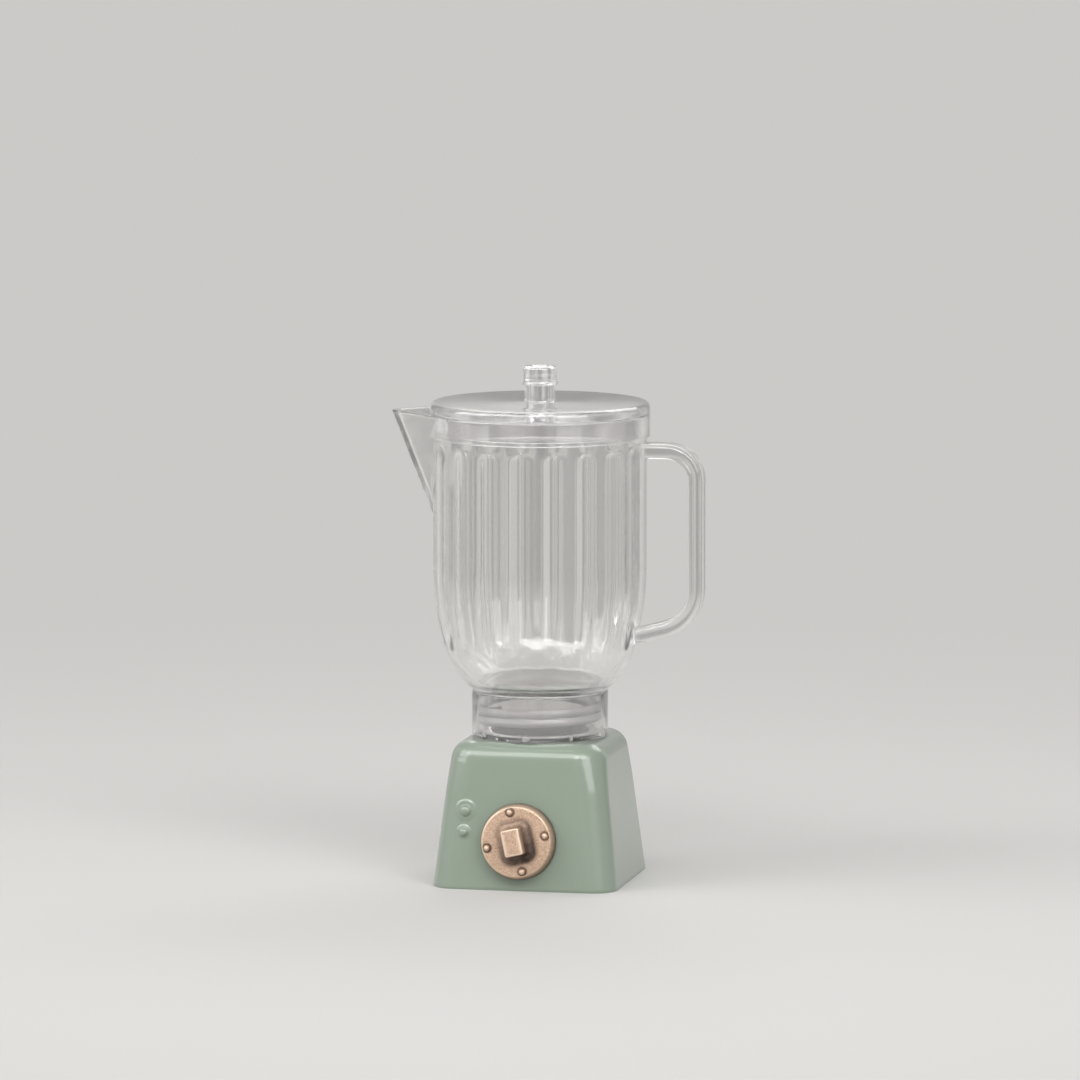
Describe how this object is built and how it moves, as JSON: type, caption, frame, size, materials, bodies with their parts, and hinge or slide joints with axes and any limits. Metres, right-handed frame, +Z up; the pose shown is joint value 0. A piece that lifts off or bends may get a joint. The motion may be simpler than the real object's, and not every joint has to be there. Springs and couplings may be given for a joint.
{
  "type": "toy blender",
  "caption": "Miniature toy countertop blender: painted tapered base with a turning dial, clear fluted lift-off jar with pouring lip and loop handle, and a clear lid with a plug cap.",
  "frame": {"origin": "centre of the base's underside, on the surface that it stands on", "axes": "+Z up along the jar's axis; the dial faces -Y, the pouring lip points to -X and the handle to +X"},
  "size_m": [0.0464, 0.0344, 0.0751],
  "materials": {
    "sage_paint": "sage green gloss paint",
    "copper_paint": "brushed copper paint with fine speckle",
    "base_plate_plastic": "matt moulded plastic",
    "zinc_steel": "bright zinc plate",
    "clear_collar": "clear moulded plastic",
    "clear_jar": "clear moulded plastic",
    "clear_lid": "clear moulded plastic, faintly grey"
  },
  "bodies": {
    "base": {"housing": "sage_paint", "base_plate": "base_plate_plastic", "base_plate_screws": "zinc_steel", "neck_collar": "clear_collar"},
    "dial": {"dial": "copper_paint", "dial_spring_washer": "zinc_steel", "dial_washer": "zinc_steel", "dial_screw": "zinc_steel"},
    "jar": {"jar": "clear_jar", "jar_handle": "clear_jar"},
    "lid": {"lid": "clear_lid"},
    "cap": {"lid_cap": "clear_lid"}
  },
  "joints": [
    {"name": "dial_turn", "type": "hinge", "parent": "base", "child": "dial", "pos_m": [-0.00038, -0.01283, 0.00715], "axis": [0, -0.9936, 0.1132], "continuous": true},
    {"name": "jar_lift", "type": "slide", "parent": "base", "child": "jar", "axis": [0, 0, 1], "range_m": [0, 0.012]},
    {"name": "lid_lift", "type": "slide", "parent": "jar", "child": "lid", "axis": [0, 0, 1], "range_m": [0, 0.01]},
    {"name": "cap_lift", "type": "slide", "parent": "lid", "child": "cap", "axis": [0, 0, 1], "range_m": [0, 0.006]}
  ]
}
